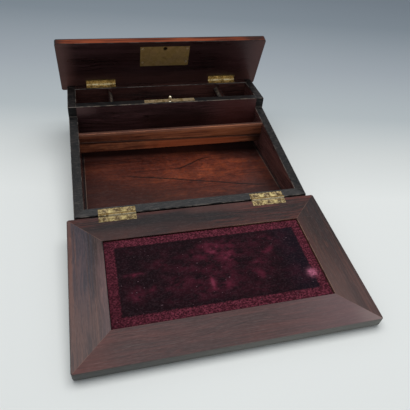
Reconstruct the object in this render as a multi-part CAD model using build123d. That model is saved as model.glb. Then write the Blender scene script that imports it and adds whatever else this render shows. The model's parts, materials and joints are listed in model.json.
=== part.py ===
from build123d import *
from math import asin, atan2, cos, degrees, hypot, radians, sin, tan
import os

os.makedirs("parts", exist_ok=True)

# Writing slope, shown with both lids open. Millimetres, X to the right, Y to the back, Z up.
# The origin is the centre of the case's underside.

# ---- driving dimensions: case ----------------------------------------------------------------
case_width = 300.0          # outside, left to right
case_depth = 259.0          # outside, front face to back face
front_height = 31.0         # underside to the front wall's outer top edge
slope_rise = 28.8           # from the front face to the foot of the step
step_height = 16.3          # from the foot of the step to the level top
level_depth = 69.5          # level top, from the step to the back face
wall = 12.0                 # thickness of the four walls
base_thickness = 5.0
rebate_width = 6.0          # how far the base board runs under each wall
arris = 0.7                 # small chamfer on edges that hands touch

# ---- driving dimensions: inside the case -----------------------------------------------------
divider_thickness = 12.0
partition_thickness = 6.0
partition_offset = 86.0     # centre of the case to the middle of each partition
partition_drop = 0.8        # below the level top
partition_housing = 2.0     # depth of the grooves that hold its ends
cove_radius = 9.0           # hollow along a partition's inner top edge
cove_setback = 3.5          # axis of that hollow, out from the partition's inner face
tray_thickness = 12.0
tray_drop = 28.0            # level top down to the top of the pen tray
tray_housing = 2.0          # how far the tray's ends enter the partitions
trough_radius = 26.0        # section of the tray's hollow
trough_depth = 8.0
trough_end_radius = 30.0    # sweep of the hollow up to its ends
trough_margin = 8.0         # flat left at each end of the tray
rack_foot = 158.0           # front face back to the rack board's front face, at the floor
rack_thickness = 4.0
rack_gap = 15.0             # floor to the rack board's lower edge, along the board
rack_drop = 1.0             # rim down to the rack board's upper edge
rack_housing = 3.0          # depth of the grooves that hold its ends
rack_joint_height = 30.5    # floor to the open joint between the two strips, at mid length
rack_joint_skew = 8.7       # how much lower the joint is at the right wall than at the left
rack_joint_gap = 0.5
rack_lower_proud = 0.8      # the lower strip stands this much in front of the upper one

# ---- driving dimensions: lids ----------------------------------------------------------------
lid_width = 317.0
slope_lid_depth = 190.4
slope_lid_thickness = 14.5
frame_thickness = 4.0       # mitred frame laid on the lid's panel
frame_width = 38.5
velvet_drop = 1.2           # frame face down to the velvet
velvet_margin = 0.4         # gap between the velvet and the frame
rear_lid_thickness = 11.8
rear_lid_reach = 78.4       # rear hinge axis to the lid's free edge
rear_lid_overhang = 9.5     # rear hinge axis to the lid's hinge edge
rear_lid_open = 71.3        # degrees open from shut
lid_rounding = 4.0          # outer edges of the slope lid
rear_rounding = 2.5         # outer edges of the rear lid
corner_radius = 3.0         # corners of both lids in plan

# ---- driving dimensions: hinges --------------------------------------------------------------
hinge_length = 45.0
front_hinge_left = 99.3     # centre of the case to the middle of the left front hinge
front_hinge_right = 94.6    # and of the right one, which was let in a little nearer
rear_hinge_offset = 98.3    # centre of the case to the middle of each rear hinge
hinge_reach = 1.2           # hinge axis out from the case's face
shut_gap = 0.3              # between a shut lid and the rim
leaf_width = 10.6           # hinge axis to the leaf's far edge
leaf_thickness = 1.2
knuckle_radius = 2.2
knuckle_count = 5
knuckle_relief = 0.3        # wood cut back round the knuckles
pin_radius = 1.0
pin_play = 0.05             # radial, in the moving leaf's knuckles
pin_grip = 0.01             # radial, in the fixed leaf's knuckles
side_play = 0.12            # between neighbouring knuckles, along the pin
screw_head_radius = 2.1
screw_shank_radius = 0.9
screw_length = 7.5
screw_slot_width = 0.5
screw_slot_depth = 0.5
screw_pitch = 15.0          # between the screws of one leaf
screw_line = 6.5            # hinge axis to the line of screws

# ---- driving dimensions: lock and stud -------------------------------------------------------
strike_length = 77.0
strike_width = 9.0
strike_thickness = 1.2
strike_setback = 2.2        # step face to the strip's front edge
strike_screw_inset = 5.0
stud_setback = 4.4          # step face to the stud's axis
stud_ball_radius = 2.6
stud_ball_height = 6.0      # level top to the centre of the ball
stud_neck_radius = 1.5
stud_collar_radius = 2.4
stud_collar_height = 1.2
stud_shank_length = 9.0
plate_length = 75.0
plate_width = 36.0
plate_thickness = 1.2
plate_screw_inset = 3.8
plate_hole_inset = 3.8      # plate's free edge to the centre of the stud's hole
plate_hole_radius = 3.1
plate_screw_low = 7.0       # plate's hinge-side edge to its lower screws
lock_length = 52.0
lock_width = 26.0
lock_depth = 8.2
lock_wall = 0.8
lock_inset = 0.3            # plate's free edge to the lock case
bolt_thickness = 1.5
bolt_width = 7.0
bolt_length = 20.7
bolt_travel = 5.6
bolt_play = 0.2
fork_gap = 1.9              # half width of the fork's slot
fork_reach = 2.3            # fork tip past the stud's axis when thrown
talon_radius = 2.2          # notch that the key turns in
key_pin_radius = 1.0
key_distance = 6.0          # bolt's lower edge to the key pin
keyhole_radius = 1.9
keyhole_slot = 1.6
keyhole_drop = 6.0

# ---- worked out from the driving dimensions ---------------------------------------------------
front_face = -case_depth / 2
back_face = case_depth / 2
step_face = back_face - level_depth
slope_run = case_depth - level_depth
slope_foot = front_height + slope_rise
level_top = slope_foot + step_height
slope_angle = degrees(atan2(slope_rise, slope_run))
inner_width = case_width - 2 * wall
inner_half = inner_width / 2
inner_front = front_face + wall
inner_back = back_face - wall
divider_back = step_face + divider_thickness
reach = 2 * case_depth      # longer than anything, for cutting tools
tolerance = 0.01            # for telling edges apart by their place

front_axis_y = front_face - hinge_reach
rim_below_axis = front_height - hinge_reach * tan(radians(slope_angle))
front_axis_z = rim_below_axis + shut_gap / 2 / cos(radians(slope_angle))
rear_axis_y = back_face + hinge_reach
rear_axis_z = level_top + shut_gap / 2

# The open slope lid rests on its rounded far edge, at the level of the case's underside.
lid_far = hinge_reach + slope_lid_depth
round_reach = lid_far - lid_rounding
round_depth = shut_gap / 2 + slope_lid_thickness - lid_rounding
lid_droop = degrees(
    asin((front_axis_z - lid_rounding) / hypot(round_reach, round_depth)) - atan2(round_depth, round_reach)
)
slope_lid_travel = 180 + lid_droop - slope_angle

# Each frame has its origin on a hinge axis, and its Y points from the lid's free edge to its hinge.
rim_frame = Location((0, front_axis_y, front_axis_z), (slope_angle, 0, 0))
lid_frame = Location((0, front_axis_y, front_axis_z), (lid_droop, 0, 0))
level_frame = Location((0, rear_axis_y, rear_axis_z))
rear_frame = Location((0, rear_axis_y, rear_axis_z), (-rear_lid_open, 0, 0))
rack_frame = Location((0, front_face + rack_foot, base_thickness), (slope_angle, 0, 0))


# ---- small helpers -----------------------------------------------------------------------------
def block(x_span, y_span, z_span):
    """A box between the given low and high values on each axis."""
    size = [high - low for low, high in (x_span, y_span, z_span)]
    centre = [(high + low) / 2 for low, high in (x_span, y_span, z_span)]
    return Pos(*centre) * Box(*size)


def rod(radius, x_low, x_high):
    """A round bar along X, centred on the X axis."""
    return Pos((x_low + x_high) / 2, 0, 0) * Rot(0, 90, 0) * Cylinder(radius, x_high - x_low)


def prism(points, height):
    """An upright prism on the XY plane."""
    return extrude(make_face(Polyline(*points, close=True)), amount=height)


def mitred_plan(side, outer, inner):
    """Plan of one of the four mitred members that fill the space between two rectangles."""

    def edge(rectangle):
        (left, right), (low, high) = rectangle
        edges = {
            "front": [(left, low), (right, low)],
            "back": [(left, high), (right, high)],
            "left": [(left, low), (left, high)],
            "right": [(right, low), (right, high)],
        }
        return edges[side]

    return edge(outer) + edge(inner)[::-1]


def group(solids):
    """Several separate solids as one shape."""
    return Compound(children=[piece for solid in solids for piece in solid.solids()])


def side_step(centre, count, pitch):
    """Evenly spaced places along X, centred on the given value."""
    return [centre + pitch * (index - (count - 1) / 2) for index in range(count)]


# ---- screws ------------------------------------------------------------------------------------
def screw_blank(length=screw_length):
    """Countersunk screw without its slot, pointing down, its head flush with Z = 0."""
    profile = Polyline(
        (0, 0),
        (screw_head_radius, 0),
        (screw_shank_radius, -(screw_head_radius - screw_shank_radius)),
        (screw_shank_radius, -length + screw_shank_radius),
        (0, -length),
        close=True,
    )
    return revolve(Plane.XZ * make_face(profile), Axis.Z)


def screw(turn=0.0, length=screw_length):
    """The screw with its slot, turned about its own axis."""
    slot_half = screw_slot_width / 2
    slot = block((-reach, reach), (-slot_half, slot_half), (-screw_slot_depth, 1))
    return Rot(0, 0, turn) * (screw_blank(length) - slot)


# ---- hinges ------------------------------------------------------------------------------------
def knuckle_spans(centre_x, fixed):
    """X spans of the knuckles that belong to the fixed or the moving leaf."""
    pitch = hinge_length / knuckle_count
    start = centre_x - hinge_length / 2
    spans = []
    for index in range(knuckle_count):
        if (index % 2 == 0) == fixed:
            low = start + index * pitch + (side_play / 2 if index else 0)
            high = start + (index + 1) * pitch - (side_play / 2 if index < knuckle_count - 1 else 0)
            spans.append((low, high))
    return spans


def leaf_plate(centre_x, direction, side, start=shut_gap / 2):
    """Flat of a leaf, from start to its underside. Side is +1 above the axis plane and -1 below it."""
    half = hinge_length / 2
    y_span = sorted((0, direction * leaf_width))
    z_span = sorted((side * start, side * (shut_gap / 2 + leaf_thickness)))
    return block((centre_x - half, centre_x + half), y_span, z_span)


def screw_places(centre_x, direction, side):
    """Where the screws of a leaf go, in the frame of the hinge axis."""
    flip = (0, 0, 0) if side < 0 else (180, 0, 0)
    return [
        Location((x, direction * screw_line, side * shut_gap / 2), flip)
        for x in side_step(centre_x, 3, screw_pitch)
    ]


def hinge_leaf(centre_x, direction, side, fixed):
    """One leaf with its knuckles, bored for the pin and drilled for its screws."""
    leaf = leaf_plate(centre_x, direction, side)
    clear = knuckle_radius + side_play
    for low, high in knuckle_spans(centre_x, not fixed):
        leaf -= rod(clear, low - side_play, high + side_play)
    for low, high in knuckle_spans(centre_x, fixed):
        leaf += rod(knuckle_radius, low, high)
    bore = pin_radius + (pin_grip if fixed else pin_play)
    leaf -= rod(bore, centre_x - hinge_length, centre_x + hinge_length)
    for place in screw_places(centre_x, direction, side):
        leaf -= place * screw_blank()
    return leaf


def hinge_recess(centre_x, direction, side):
    """What a leaf, its knuckles and its screws take out of the wood, cut from above its surface."""
    half = hinge_length / 2
    knuckles = rod(knuckle_radius + knuckle_relief, centre_x - half - side_play, centre_x + half + side_play)
    recess = leaf_plate(centre_x, direction, side, start=0) + knuckles
    for place in screw_places(centre_x, direction, side):
        recess += place * screw_blank()
    return recess


def leaf_screws(centre_x, direction, side):
    """The three screws of a leaf, each slot stopped at its own angle."""
    return [
        place * screw(turn=25 + 50 * index)
        for index, place in enumerate(screw_places(centre_x, direction, side))
    ]


front_hinges = {"left": -front_hinge_left, "right": front_hinge_right}
rear_hinges = {"left": -rear_hinge_offset, "right": rear_hinge_offset}


# ---- case --------------------------------------------------------------------------------------
def case_ring():
    """The four walls in one, with the slope, step and level top, and the rebate for the base."""
    side = Polyline(
        (front_face, 0),
        (back_face, 0),
        (back_face, level_top),
        (step_face, level_top),
        (step_face, slope_foot),
        (front_face, front_height),
        close=True,
    )
    ring = extrude(Plane.YZ.offset(-case_width / 2) * make_face(side), amount=case_width)
    ring -= block((-inner_half, inner_half), (inner_front, inner_back), (-reach, reach))
    ring = chamfer(ring.edges().filter_by(is_rim_arris), arris)
    return ring - base_blank()


def is_rim_arris(edge):
    """Whether an edge of the walls runs along the rim, and isn't upright or at the foot of the step."""
    middle = edge.center()
    on_rim = edge.bounding_box().min.Z > front_height - tolerance
    level = abs((edge @ 1 - edge @ 0).Z) < edge.length / 2
    at_foot = hypot(middle.Y - step_face, middle.Z - slope_foot) < tolerance
    return on_rim and level and not at_foot


def base_blank():
    half = inner_half + rebate_width
    return block((-half, half), (inner_front - rebate_width, inner_back + rebate_width), (0, base_thickness))


case_outline = ((-case_width / 2, case_width / 2), (front_face, back_face))
case_inside = ((-inner_half, inner_half), (inner_front, inner_back))


def rack_bottom_and_top():
    """Heights of the rack board's lower and upper edges above the floor, along the board."""
    lean = radians(slope_angle)
    rim_point = (front_face + rack_foot, base_thickness)
    rim_distance = (rim_point[0] - front_face) * sin(lean) + (front_height - rim_point[1]) * cos(lean)
    return rack_gap, rim_distance - rack_drop


def joint_height(x):
    """Height of the open joint between the two strips at a place along the board."""
    return rack_joint_height - rack_joint_skew * x / inner_width


def rack_strip(lower):
    """One strip of the rack board, in the rack's own frame."""
    low, high = rack_bottom_and_top()
    half = inner_half + rack_housing
    seam = rack_joint_gap / 2
    if lower:
        left, right = joint_height(-half) - seam, joint_height(half) - seam
        outline = [(-half, low), (half, low), (half, right), (-half, left)]
        face_y = -rack_lower_proud
    else:
        left, right = joint_height(-half) + seam, joint_height(half) + seam
        outline = [(-half, left), (half, right), (half, high), (-half, high)]
        face_y = 0
    strip = extrude(Plane.XZ * make_face(Polyline(*outline, close=True)), amount=-rack_thickness)
    top = strip.faces().sort_by(Axis.Z)[-1]
    strip = chamfer(top.edges().sort_by(Axis.Y)[0], arris)
    return rack_frame * Pos(0, face_y, 0) * strip


def make_walls():
    ring = case_ring()
    walls = {
        name: ring & prism(mitred_plan(name, case_outline, case_inside), reach)
        for name in ("front", "back", "left", "right")
    }
    for centre_x in front_hinges.values():
        walls["front"] -= rim_frame * hinge_recess(centre_x, 1, -1)
    for centre_x in rear_hinges.values():
        walls["back"] -= level_frame * hinge_recess(centre_x, -1, -1)
    for sign in (-1, 1):
        walls["back"] -= partition_blank(sign)
    for name in ("left", "right"):
        walls[name] -= rack_strip(True)
        walls[name] -= rack_strip(False)
    return walls


def partition_blank(sign):
    """A partition before its hollow edge, its ends in their grooves. Sign is -1 left, +1 right."""
    centre = sign * partition_offset
    half = partition_thickness / 2
    return block(
        (centre - half, centre + half),
        (divider_back - partition_housing, inner_back + partition_housing),
        (base_thickness, level_top - partition_drop),
    )


def make_partition(sign):
    inner_x = sign * (partition_offset - partition_thickness / 2)
    cove = Pos(inner_x - sign * cove_setback, 0, level_top - partition_drop) * Rot(90, 0, 0) * Cylinder(
        cove_radius, reach
    )
    inside = block((-reach, reach), (divider_back, inner_back), (0, level_top))
    return partition_blank(sign) - (cove & inside) - tray_blank()


def make_divider():
    divider = block((-inner_half, inner_half), (step_face, divider_back), (base_thickness, level_top))
    top = divider.faces().sort_by(Axis.Z)[-1]
    divider = chamfer(top.edges().filter_by(Axis.X), arris)
    for sign in (-1, 1):
        divider -= partition_blank(sign)
    divider -= strike_blank()
    divider -= stud_blank()
    for place in strike_screw_places():
        divider -= place * screw_blank()
    return divider


def tray_blank():
    half = partition_offset - partition_thickness / 2 + tray_housing
    top = level_top - tray_drop
    return block((-half, half), (divider_back, inner_back), (top - tray_thickness, top))


def make_tray():
    """Pen tray with a trough that sweeps up to each end."""
    top = level_top - tray_drop
    middle_y = (divider_back + inner_back) / 2
    half = partition_offset - partition_thickness / 2 - trough_margin
    bar = Pos(0, middle_y, top + trough_radius - trough_depth) * rod(trough_radius, -half, half)
    inset = (trough_end_radius**2 - (trough_end_radius - trough_depth) ** 2) ** 0.5
    bow = Line((-half, top), (half, top))
    bow += RadiusArc((half, top), (half - inset, top - trough_depth), trough_end_radius)
    bow += Line((half - inset, top - trough_depth), (-half + inset, top - trough_depth))
    bow += RadiusArc((-half + inset, top - trough_depth), (-half, top), trough_end_radius)
    sweep = extrude(Plane.XZ * make_face(bow), amount=reach, both=True)
    return tray_blank() - (bar & sweep)


# ---- strike plate and stud ---------------------------------------------------------------------
def strike_blank():
    half = strike_length / 2
    front = step_face + strike_setback
    return block((-half, half), (front, front + strike_width), (level_top - strike_thickness, level_top))


def strike_screw_places():
    x = strike_length / 2 - strike_screw_inset
    y = step_face + strike_setback + strike_width / 2
    return [Pos(-x, y, level_top), Pos(x, y, level_top)]


def stud_blank():
    """Shank of the stud, below the strip's top."""
    return Pos(0, step_face + stud_setback, level_top - stud_shank_length / 2) * Cylinder(
        stud_neck_radius, stud_shank_length
    )


def make_stud():
    """Turned stud: shank, collar, neck and ball."""
    waist = (stud_ball_radius**2 - stud_neck_radius**2) ** 0.5
    neck_top = stud_ball_height - waist
    outline = Line((0, -stud_shank_length), (stud_neck_radius, -stud_shank_length))
    outline += Line((stud_neck_radius, -stud_shank_length), (stud_neck_radius, 0))
    outline += Line((stud_neck_radius, 0), (stud_collar_radius, 0))
    outline += RadiusArc((stud_collar_radius, 0), (stud_neck_radius, stud_collar_height), stud_collar_height)
    outline += Line((stud_neck_radius, stud_collar_height), (stud_neck_radius, neck_top))
    crown = stud_ball_height + stud_ball_radius
    outline += ThreePointArc((stud_neck_radius, neck_top), (stud_ball_radius, stud_ball_height), (0, crown))
    outline += Line((0, crown), (0, -stud_shank_length))
    turned = revolve(Plane.XZ * make_face(outline), Axis.Z)
    return Pos(0, step_face + stud_setback, level_top) * turned


def make_strike():
    plate = strike_blank() - stud_blank()
    for place in strike_screw_places():
        plate -= place * screw_blank()
    return plate


# ---- slope lid, in its own frame: the panel lies below the frame, the inner face looks up -------
def lid_outline(inset=0.0):
    """X and Y spans of the slope lid, shrunk by an inset."""
    half = lid_width / 2 - inset
    return (-half, half), (-lid_far + inset, -hinge_reach - inset)


def make_lid_panel():
    x_span, y_span = lid_outline()
    face = -shut_gap / 2
    panel = block(x_span, y_span, (face - slope_lid_thickness, face - frame_thickness))
    panel = fillet(panel.edges().filter_by(Axis.Z), corner_radius)
    bottom = panel.faces().sort_by(Axis.Z)[0]
    hinge_edge = bottom.edges().sort_by(Axis.Y)[-1]
    outer = [edge for edge in bottom.edges() if (edge.center() - hinge_edge.center()).length > 1]
    panel = fillet(outer, lid_rounding)
    return panel - lid_hinge_cuts()


def lid_hinge_cuts():
    cuts = [hinge_recess(centre_x, -1, -1) for centre_x in front_hinges.values()]
    return cuts[0] + cuts[1]


def make_frame_piece(side):
    """One mitred member of the frame round the velvet."""
    inner = [(low + frame_width, high - frame_width) for low, high in lid_outline()]
    face = -shut_gap / 2
    board = block(*lid_outline(), (face - frame_thickness, face))
    board = fillet(board.edges().filter_by(Axis.Z), corner_radius)
    top = board.faces().sort_by(Axis.Z)[-1]
    board = chamfer(top.edges(), arris)
    member = prism(mitred_plan(side, lid_outline(), inner), reach)
    return (Pos(0, 0, -reach / 2) * member & board) - lid_hinge_cuts()


def make_velvet():
    x_span, y_span = lid_outline(frame_width + velvet_margin)
    face = -shut_gap / 2
    return block(x_span, y_span, (face - frame_thickness, face - velvet_drop))


# ---- rear lid, in its own frame: shut, so its inner face looks down ----------------------------
rear_inner = shut_gap / 2
stud_y = step_face + stud_setback - rear_axis_y
plate_free = stud_y - plate_hole_inset
plate_middle = plate_free + plate_width / 2
plate_back = rear_inner + plate_thickness
lock_free = plate_free + lock_inset
bolt_free = lock_free + lock_wall + bolt_play / 2
bolt_near = bolt_free + bolt_width
bolt_low = plate_back + bolt_play
bolt_tip = fork_reach - bolt_travel
talon_x = bolt_tip - bolt_length / 2
key_y = bolt_near + key_distance


def plate_blank():
    half = plate_length / 2
    return block((-half, half), (plate_free, plate_free + plate_width), (rear_inner, plate_back))


def lock_blank():
    half = lock_length / 2
    return block((-half, half), (lock_free, lock_free + lock_width), (plate_back, plate_back + lock_depth))


def keyhole():
    """Round hole with a slot on the hinge side, from inside the lock to the outside of the lid."""
    half = keyhole_slot / 2
    inside = plate_back + lock_depth - 2 * lock_wall
    outside = rear_inner + 2 * rear_lid_thickness
    hole = Pos(talon_x, key_y, (inside + outside) / 2) * Cylinder(keyhole_radius, outside - inside)
    slot = block((talon_x - half, talon_x + half), (key_y, key_y + keyhole_drop), (inside, outside))
    return hole + slot


def plate_screw_places():
    x = plate_length / 2 - plate_screw_inset
    rows = (plate_free + plate_screw_inset, plate_free + plate_width - plate_screw_low)
    return [Location((sign * x, y, rear_inner), (180, 0, 0)) for sign in (-1, 1) for y in rows]


def make_rear_board():
    half = lid_width / 2
    y_span = (-rear_lid_reach, rear_lid_overhang)
    board = block((-half, half), y_span, (rear_inner, rear_inner + rear_lid_thickness))
    board = fillet(board.edges().filter_by(Axis.Z), corner_radius)
    top = board.faces().sort_by(Axis.Z)[-1]
    board = fillet(top.edges(), rear_rounding)
    bottom = board.faces().sort_by(Axis.Z)[0]
    board = chamfer(bottom.edges(), arris)
    for centre_x in rear_hinges.values():
        board -= hinge_recess(centre_x, -1, 1)
    board -= plate_blank()
    board -= lock_blank()
    board -= keyhole()
    for place in plate_screw_places():
        board -= place * screw_blank()
    return board


def make_lock_plate():
    plate = plate_blank()
    plate -= Pos(0, stud_y, rear_inner) * Cylinder(plate_hole_radius, 4 * plate_thickness)
    for place in plate_screw_places():
        plate -= place * screw_blank()
    pin_length = lock_depth - lock_wall - bolt_play
    return plate + Pos(talon_x, key_y, plate_back + pin_length / 2) * Cylinder(key_pin_radius, pin_length)


def make_lock_case():
    """Tray-shaped case, open towards the plate, with two guide posts for the bolt."""
    half = lock_length / 2 - lock_wall
    floor = plate_back + lock_depth - lock_wall
    shell = lock_blank()
    shell -= block((-half, half), (lock_free + lock_wall, lock_free + lock_width - lock_wall), (0, floor))
    post_length = floor - plate_back
    post_y = bolt_near + bolt_play / 2 + key_pin_radius
    for x in (talon_x - bolt_length / 3, talon_x + bolt_length / 3):
        shell += Pos(x, post_y, plate_back + post_length / 2) * Cylinder(key_pin_radius, post_length)
    return shell - keyhole()


def make_bolt():
    """Forked bolt at its withdrawn place, with the notch that the key turns in."""
    bolt = block(
        (bolt_tip - bolt_length, bolt_tip),
        (bolt_free, bolt_near),
        (bolt_low, bolt_low + bolt_thickness),
    )
    slot_end = bolt_tip - fork_reach
    bolt -= block((slot_end, bolt_tip + 1), (stud_y - fork_gap, stud_y + fork_gap), (0, reach))
    bolt -= Pos(slot_end, stud_y, 0) * Cylinder(fork_gap, reach)
    return bolt - Pos(talon_x, bolt_near, 0) * Cylinder(talon_radius, reach)


# ---- put everything in its place -----------------------------------------------------------------
nodes = {}
nodes["base_board"] = base_blank()
walls = make_walls()
nodes["front_wall"] = walls["front"]
nodes["back_wall"] = walls["back"]
nodes["left_side"] = walls["left"]
nodes["right_side"] = walls["right"]
nodes["divider"] = make_divider()
nodes["partition_left"] = make_partition(-1)
nodes["partition_right"] = make_partition(1)
nodes["pen_tray"] = make_tray()
nodes["letter_board_upper"] = rack_strip(False)
nodes["letter_board_lower"] = rack_strip(True)
nodes["strike_plate"] = make_strike()
nodes["catch_stud"] = make_stud()
nodes["strike_screws"] = group([place * screw(turn=20) for place in strike_screw_places()])

case_screws = []
slope_lid_screws = []
rear_lid_screws = []
for hand, centre_x in front_hinges.items():
    pin = rod(pin_radius, centre_x - hinge_length / 2, centre_x + hinge_length / 2)
    nodes[f"front_{hand}_case_leaf"] = rim_frame * hinge_leaf(centre_x, 1, -1, True)
    nodes[f"front_{hand}_lid_leaf"] = lid_frame * hinge_leaf(centre_x, -1, -1, False)
    nodes[f"front_{hand}_pin"] = rim_frame * pin
    case_screws += [rim_frame * one for one in leaf_screws(centre_x, 1, -1)]
    slope_lid_screws += [lid_frame * one for one in leaf_screws(centre_x, -1, -1)]
for hand, centre_x in rear_hinges.items():
    pin = rod(pin_radius, centre_x - hinge_length / 2, centre_x + hinge_length / 2)
    nodes[f"rear_{hand}_case_leaf"] = level_frame * hinge_leaf(centre_x, -1, -1, True)
    nodes[f"rear_{hand}_lid_leaf"] = rear_frame * hinge_leaf(centre_x, -1, 1, False)
    nodes[f"rear_{hand}_pin"] = level_frame * pin
    case_screws += [level_frame * one for one in leaf_screws(centre_x, -1, -1)]
    rear_lid_screws += [rear_frame * one for one in leaf_screws(centre_x, -1, 1)]
nodes["case_hinge_screws"] = group(case_screws)
nodes["slope_lid_screws"] = group(slope_lid_screws)
nodes["rear_lid_screws"] = group(rear_lid_screws)

nodes["lid_panel"] = lid_frame * make_lid_panel()
nodes["lid_hinge_rail"] = lid_frame * make_frame_piece("back")
nodes["lid_free_rail"] = lid_frame * make_frame_piece("front")
nodes["lid_left_stile"] = lid_frame * make_frame_piece("left")
nodes["lid_right_stile"] = lid_frame * make_frame_piece("right")
nodes["velvet_pad"] = lid_frame * make_velvet()

nodes["rear_lid_board"] = rear_frame * make_rear_board()
nodes["lock_plate"] = rear_frame * make_lock_plate()
nodes["lock_case"] = rear_frame * make_lock_case()
nodes["lock_bolt"] = rear_frame * make_bolt()
nodes["lock_screws"] = group([rear_frame * place * screw(turn=35) for place in plate_screw_places()])

for name, piece in nodes.items():
    export_step(piece, f"parts/{name}.step")

print(f"front hinge axis: y {front_axis_y:.3f}, z {front_axis_z:.3f}, travel {slope_lid_travel:.2f} degrees")
print(f"rear hinge axis: y {rear_axis_y:.3f}, z {rear_axis_z:.3f}, opened {rear_lid_open:.2f} degrees")
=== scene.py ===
"""Writing slope: the finish of its rosewood, ebonising, brass and velvet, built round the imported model."""

import json
from functools import partial
from math import cos, exp, pi, radians, sin

import bmesh
import bpy
from bpy.props import FloatProperty, FloatVectorProperty, PointerProperty
from mathutils import Euler, Matrix, Vector, noise


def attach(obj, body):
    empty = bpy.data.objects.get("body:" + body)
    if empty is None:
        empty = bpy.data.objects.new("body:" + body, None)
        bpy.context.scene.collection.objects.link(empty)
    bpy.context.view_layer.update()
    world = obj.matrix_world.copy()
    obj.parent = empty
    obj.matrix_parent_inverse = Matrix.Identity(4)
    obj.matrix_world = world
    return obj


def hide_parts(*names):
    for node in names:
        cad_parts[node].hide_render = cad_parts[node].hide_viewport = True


bl_info = {
    "name": "Writing Slope",
    "version": (1, 0, 0),
    "blender": (4, 5, 0),
    "location": "View3D > Sidebar > Writing Slope",
    "description": "Finishes a rosewood writing slope with ebonising, brass and embossed velvet",
    "category": "Object",
}

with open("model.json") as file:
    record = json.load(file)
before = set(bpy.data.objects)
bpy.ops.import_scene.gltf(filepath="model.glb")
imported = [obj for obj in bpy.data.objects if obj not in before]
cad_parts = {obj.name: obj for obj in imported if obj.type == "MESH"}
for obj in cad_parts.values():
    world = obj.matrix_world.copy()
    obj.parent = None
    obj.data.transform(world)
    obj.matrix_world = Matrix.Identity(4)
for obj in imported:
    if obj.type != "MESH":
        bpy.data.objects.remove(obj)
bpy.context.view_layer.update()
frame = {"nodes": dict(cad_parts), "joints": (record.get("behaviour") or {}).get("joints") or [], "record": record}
joints = {joint["name"]: joint for joint in frame["joints"]}

MM = 0.001

# What the velvet's points carry: pressed border, its relief, crushed pile and a rubbed tuft, each 0 to 1.
PILE_LAYERS = ("pressed", "relief", "crushed", "fluff")


def linear(hex_colour):
    """Turns an sRGB hex colour into the opaque linear colour that a shader takes."""
    channels = [int(hex_colour[i : i + 2], 16) / 255 for i in (1, 3, 5)]
    return (*[c / 12.92 if c <= 0.04045 else ((c + 0.055) / 1.055) ** 2.4 for c in channels], 1.0)


def colour_property(name, description, hex_colour):
    return FloatVectorProperty(
        name=name, description=description, subtype="COLOR", size=4, min=0, max=1, default=linear(hex_colour)
    )


def length_property(name, description, millimetres):
    return FloatProperty(
        name=name, description=description, default=millimetres * MM, unit="LENGTH", subtype="DISTANCE"
    )


def angle_property(name, description, degrees):
    return FloatProperty(
        name=name, description=description, default=radians(degrees), unit="ROTATION", subtype="ANGLE"
    )


class WritingSlopeSizes(bpy.types.PropertyGroup):
    """Sizes that the finishes and the velvet are laid out from."""

    lid_droop: angle_property("Lid droop", "How far the open slope lid falls below level", 5.002)
    rear_lean: angle_property("Rear lid angle", "How far the rear lid stands open from shut", 71.3)
    case_half_width: length_property("Case half width", "Centre of the case to its sides", 150.0)
    case_half_depth: length_property("Case half depth", "Centre of the case to its front and back", 129.5)
    inside_half_width: length_property("Inside half width", "Centre to the side walls' inner faces", 138.0)
    inside_half_depth: length_property("Inside half depth", "Centre to the end walls' inner faces", 117.5)
    step_face: length_property("Step face", "Centre of the case to the step", 60.0)
    step_foot: length_property("Step foot", "Underside of the case to the foot of the step", 59.8)
    rack_joint: length_property("Letter board joint", "Underside of the case to it at mid length", 35.15)
    rack_skew: length_property("Joint skew", "How much lower the joint is at the right end", 8.6)
    lid_half_width: length_property("Lid half width", "Centre of the slope lid to its sides", 158.5)
    lid_far: length_property("Lid far edge", "Hinge axis to the slope lid's far edge", 191.6)
    hinge_reach: length_property("Hinge reach", "Hinge axis to the edge of each lid", 1.2)
    frame_width: length_property("Frame width", "Width of the mitred frame round the velvet", 38.5)
    frame_thickness: length_property("Frame thickness", "Thickness of the mitred frame", 4.0)
    face_drop: length_property("Face drop", "Hinge axis down to the frame's face", 0.15)
    velvet_drop: length_property("Velvet drop", "Frame face down to the velvet", 1.2)
    velvet_gap: length_property("Velvet gap", "Gap between the velvet and the frame", 0.3)
    velvet_edge: length_property("Velvet edge", "Radius that the velvet turns down at its edge", 1.2)
    border_width: length_property("Border width", "Width of the pressed border of the velvet", 11.5)
    border_depth: length_property("Border depth", "How far the border is pressed into the pile", 0.45)
    border_pitch: length_property("Border pitch", "Length of one repeat of the pressed pattern", 4.4)
    thread_step: length_property("Velvet step", "Spacing of the points of the velvet", 0.8)


class WritingSlopeColours(bpy.types.PropertyGroup):
    """Colours of the finishes."""

    ebonised: colour_property("Ebonised", "Black stain on the outside and the rims", "#0B0C0E")
    ebonised_thin: colour_property("Thin ebonising", "Brown wood showing through the stain", "#1C1715")
    bare_edge_and_highlight: colour_property("Bare edge", "Wood that shows where the stain has worn off", "#665E58")
    ink_line: colour_property("Ink line", "The black lines in rosewood", "#0A0505")
    slate: colour_property("Dark heart", "Black-blue heartwood of the dark boards", "#18181D")
    velvet: colour_property("Velvet", "Standing pile of the velvet", "#12060B")
    velvet_crushed: colour_property("Crushed velvet", "Pile that has been pressed over", "#622033")
    velvet_border: colour_property("Velvet border", "High parts of the pressed border", "#723240")
    velvet_border_low: colour_property("Velvet border low", "Low parts of the pressed border", "#290912")
    # pale lint colour, also used for painted glints on the pile tips
    lint_and_glints: colour_property("Lint", "Pale dust caught in the pile", "#9C7C86")
    fluff: colour_property("Fluff", "A tuft of the velvet's own pile, rubbed up pale", "#B4667E")


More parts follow.
